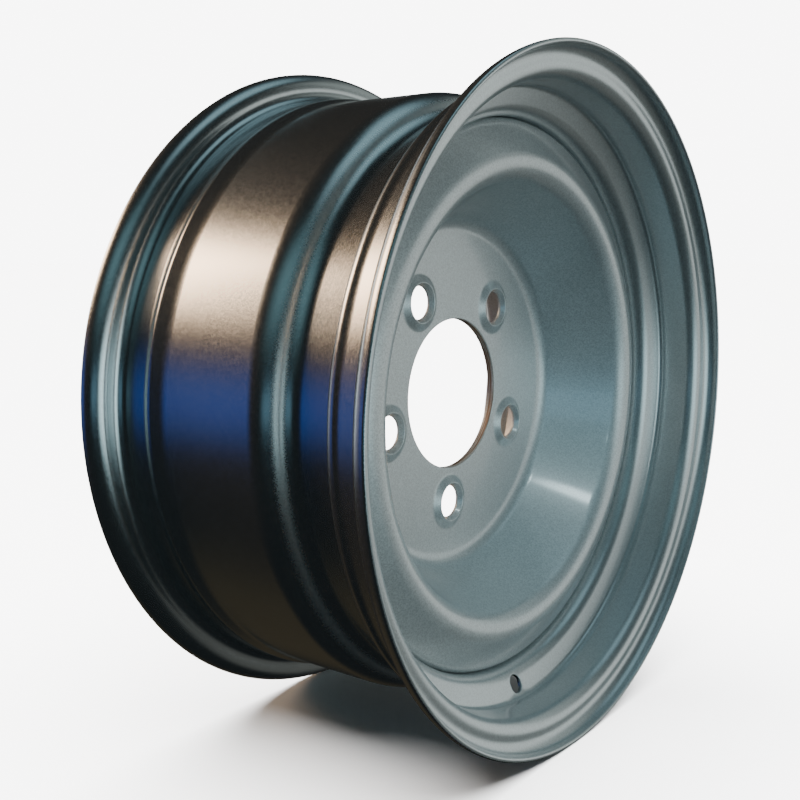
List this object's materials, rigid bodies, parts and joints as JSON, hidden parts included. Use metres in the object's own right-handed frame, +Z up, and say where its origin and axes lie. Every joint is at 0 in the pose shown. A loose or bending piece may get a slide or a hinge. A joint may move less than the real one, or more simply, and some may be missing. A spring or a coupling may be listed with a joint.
{
  "type": "steel wheel rim",
  "caption": "Bare pressed-steel wheel with a drop-centre barrel, curled flanges, a deeply dished disc, a centre bore and raised conical nut seats, silver painted.",
  "frame": {"origin": "centre of the wheel, on its axis and midway between the two flanges", "axes": "+Y along the axle towards the vehicle, so that the outboard face looks along -Y; +Z up; the valve hole is near the bottom"},
  "size_m": [0.4149, 0.2024, 0.415],
  "materials": {
    "barrel_paint": "glossy silver metallic paint",
    "disc_paint": "glossy silver metallic paint",
    "weld_paint": "silver metallic paint over rippled weld"
  },
  "bodies": {
    "root": {"rim": "barrel_paint", "disc": "disc_paint", "weld_beads": "weld_paint"}
  },
  "joints": []
}
